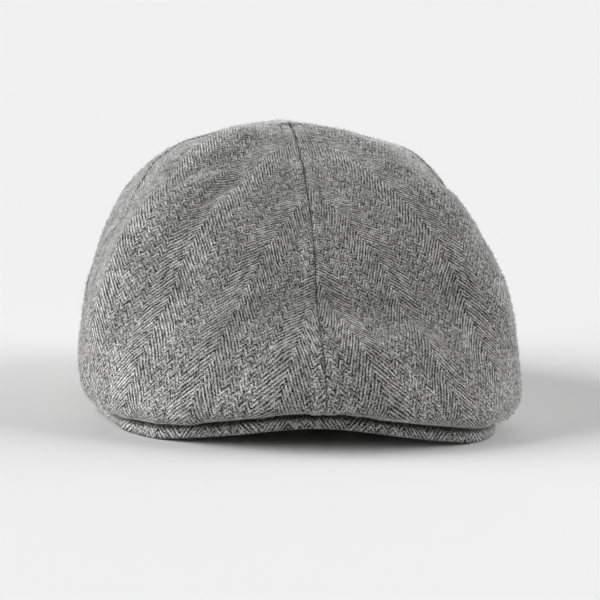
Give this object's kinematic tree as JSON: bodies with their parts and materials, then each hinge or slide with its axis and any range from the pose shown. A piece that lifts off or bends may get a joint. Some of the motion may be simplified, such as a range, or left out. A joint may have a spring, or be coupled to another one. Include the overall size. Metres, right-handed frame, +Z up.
{
  "type": "duckbill flat cap",
  "caption": "Wool flat cap with a full panelled crown pulled forward over a stiff curved peak, open below for the head.",
  "frame": {"origin": "middle of the cap's bounding box in plan, on the surface that it rests on", "axes": "+Z up, -Y towards the peak, +X towards the wearer's left"},
  "size_m": [0.201, 0.2652, 0.1271],
  "materials": {
    "herringbone_wool": "grey wool woven in a fancy herringbone, cut on the bias, soft and slightly fuzzy",
    "peak_wool": "the same grey wool drawn tight over the stiff board of the peak"
  },
  "bodies": {
    "root": {"crown_left_panel": "herringbone_wool", "crown_right_panel": "herringbone_wool", "crown_back_panel": "herringbone_wool", "peak": "peak_wool"}
  },
  "joints": []
}
